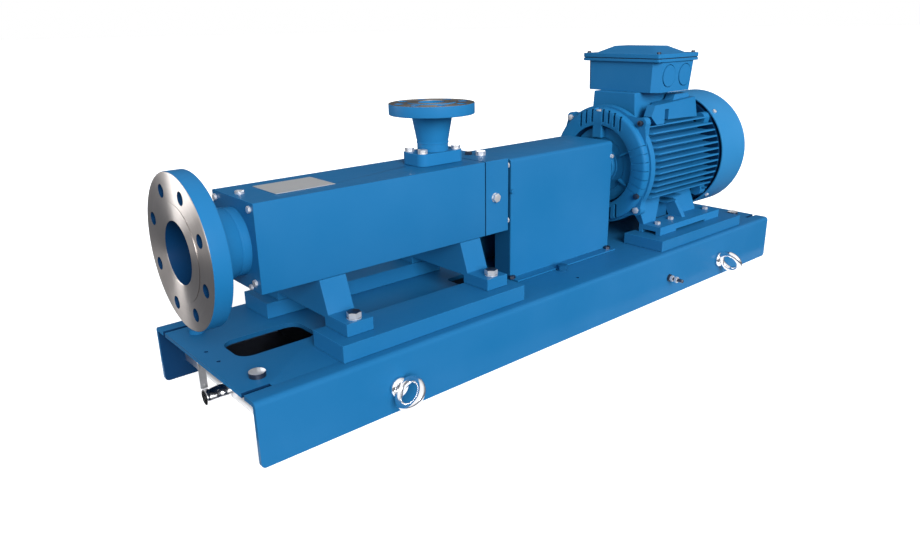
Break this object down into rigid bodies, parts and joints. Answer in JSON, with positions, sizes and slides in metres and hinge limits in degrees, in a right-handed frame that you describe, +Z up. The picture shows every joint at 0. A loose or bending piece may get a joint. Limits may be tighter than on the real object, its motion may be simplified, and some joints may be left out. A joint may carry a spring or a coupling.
{
  "type": "three-screw pump set on a base frame",
  "caption": "Horizontal three-screw pump with flanged nozzles, sheet coupling guard and finned electric motor on a folded-plate base.",
  "frame": {"origin": "on the floor, under the middle of the overall length, on the vertical plane through the shaft line", "axes": "+X along the shaft from the suction flange towards the motor's fan, +Z up, +Y to the left seen from the suction flange"},
  "size_m": [1.5346, 0.522, 0.57],
  "materials": {
    "blue_paint": "satin sprayed paint, mid blue",
    "machined_steel": "turned, fine circular tool marks",
    "polished_steel": "bright polished",
    "stainless_sheet": "rolled stainless sheet",
    "rating_plate_metal": "matt anodised plate, bare",
    "coupling_rubber": "moulded",
    "fan_plastic": "moulded"
  },
  "bodies": {
    "root": {"base_frame": "blue_paint", "drip_tray": "stainless_sheet", "drain_pipe": "polished_steel", "drain_strap": "stainless_sheet", "pump_pad_left": "blue_paint", "pump_pad_right": "blue_paint", "motor_pad_left": "blue_paint", "motor_pad_right": "blue_paint", "pump_foot_front": "blue_paint", "pump_foot_rear": "blue_paint", "pump_casing": "blue_paint", "drive_end_block": "blue_paint", "rating_plate": "rating_plate_metal", "suction_nozzle": "blue_paint", "discharge_nozzle": "blue_paint", "discharge_base": "blue_paint", "coupling_guard": "blue_paint", "guard_front_plate": "blue_paint", "guard_rear_plate": "blue_paint", "pump_shaft": "machined_steel", "pump_hub": "machined_steel", "coupling_element": "coupling_rubber", "motor_hub": "machined_steel", "motor_shaft": "machined_steel", "drive_end_shield": "blue_paint", "bearing_cap": "blue_paint", "motor_frame": "blue_paint", "motor_foot_left": "blue_paint", "motor_foot_right": "blue_paint", "fan_end_shield": "blue_paint", "fan_cowl": "blue_paint", "cowl_grille": "blue_paint", "cooling_fan": "fan_plastic", "terminal_box_neck": "blue_paint", "terminal_box": "blue_paint", "terminal_box_lid": "blue_paint", "lifting_block_left": "blue_paint", "lifting_block_right": "blue_paint", "lifting_eye_front_left": "polished_steel", "lifting_eye_front_right": "polished_steel", "lifting_eye_rear_left": "polished_steel", "lifting_eye_rear_right": "polished_steel"}
  },
  "joints": []
}
